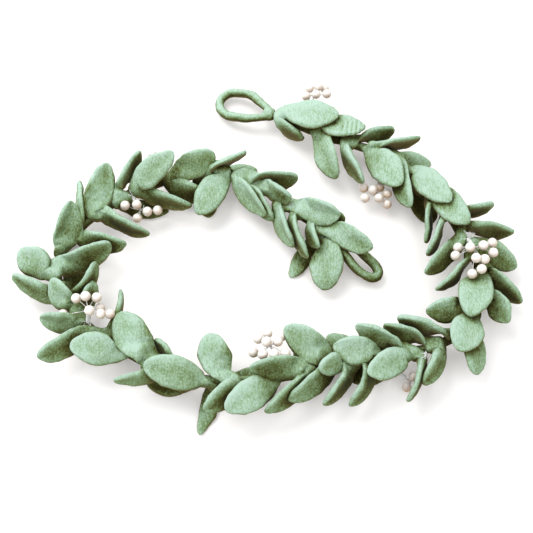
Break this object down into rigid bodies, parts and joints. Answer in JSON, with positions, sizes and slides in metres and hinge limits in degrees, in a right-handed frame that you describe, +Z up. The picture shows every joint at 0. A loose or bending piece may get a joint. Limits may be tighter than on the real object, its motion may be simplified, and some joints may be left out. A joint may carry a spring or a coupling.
{
  "type": "felt christmas garland",
  "caption": "Long garland of thick felt leaves in pairs on a round felt cord, with pearly berry clusters on wires and a hanging loop at each end, lying in a loose curl.",
  "frame": {"origin": "on the table, under the middle of the bounding box of the whole curl", "axes": "+Z up from the table, +X to the viewer's right, +Y away from the viewer; the longest extent lies along X"},
  "size_m": [0.5688, 0.436, 0.0672],
  "materials": {
    "leaf_felt": "matt heathered wet felt",
    "cord_felt": "matt felted wool",
    "berry_pearl": "soft pearl gloss"
  },
  "bodies": {
    "root": {"felt_cord": "cord_felt", "hanging_loop_start": "cord_felt", "hanging_loop_end": "cord_felt", "berry_cluster_1": "berry_pearl", "berry_cluster_2": "berry_pearl", "berry_cluster_3": "berry_pearl", "berry_cluster_4": "berry_pearl", "berry_cluster_5": "berry_pearl", "berry_cluster_6": "berry_pearl", "berry_cluster_7": "berry_pearl", "berry_cluster_8": "berry_pearl", "berry_cluster_9": "berry_pearl", "leaf_pair_01": "leaf_felt", "leaf_pair_02": "leaf_felt", "leaf_pair_03": "leaf_felt", "leaf_pair_04": "leaf_felt", "leaf_pair_05": "leaf_felt", "leaf_pair_06": "leaf_felt", "leaf_pair_07": "leaf_felt", "leaf_pair_08": "leaf_felt", "leaf_pair_09": "leaf_felt", "leaf_pair_10": "leaf_felt", "leaf_pair_11": "leaf_felt", "leaf_pair_12": "leaf_felt", "leaf_pair_13": "leaf_felt", "leaf_pair_14": "leaf_felt", "leaf_pair_15": "leaf_felt", "leaf_pair_16": "leaf_felt", "leaf_pair_17": "leaf_felt", "leaf_pair_18": "leaf_felt", "leaf_pair_19": "leaf_felt", "leaf_pair_20": "leaf_felt", "leaf_pair_21": "leaf_felt", "leaf_pair_22": "leaf_felt", "leaf_pair_23": "leaf_felt", "leaf_pair_24": "leaf_felt", "leaf_pair_25": "leaf_felt", "leaf_pair_26": "leaf_felt", "leaf_pair_27": "leaf_felt", "leaf_pair_28": "leaf_felt", "leaf_pair_29": "leaf_felt", "leaf_pair_30": "leaf_felt", "leaf_pair_31": "leaf_felt", "leaf_pair_32": "leaf_felt", "leaf_pair_33": "leaf_felt", "leaf_pair_34": "leaf_felt", "leaf_pair_35": "leaf_felt", "leaf_pair_36": "leaf_felt", "leaf_pair_37": "leaf_felt", "leaf_pair_38": "leaf_felt", "leaf_pair_39": "leaf_felt", "leaf_pair_40": "leaf_felt", "leaf_pair_41": "leaf_felt", "leaf_pair_42": "leaf_felt", "leaf_pair_43": "leaf_felt", "leaf_pair_44": "leaf_felt", "leaf_pair_45": "leaf_felt", "leaf_pair_46": "leaf_felt", "leaf_pair_47": "leaf_felt"}
  },
  "joints": []
}
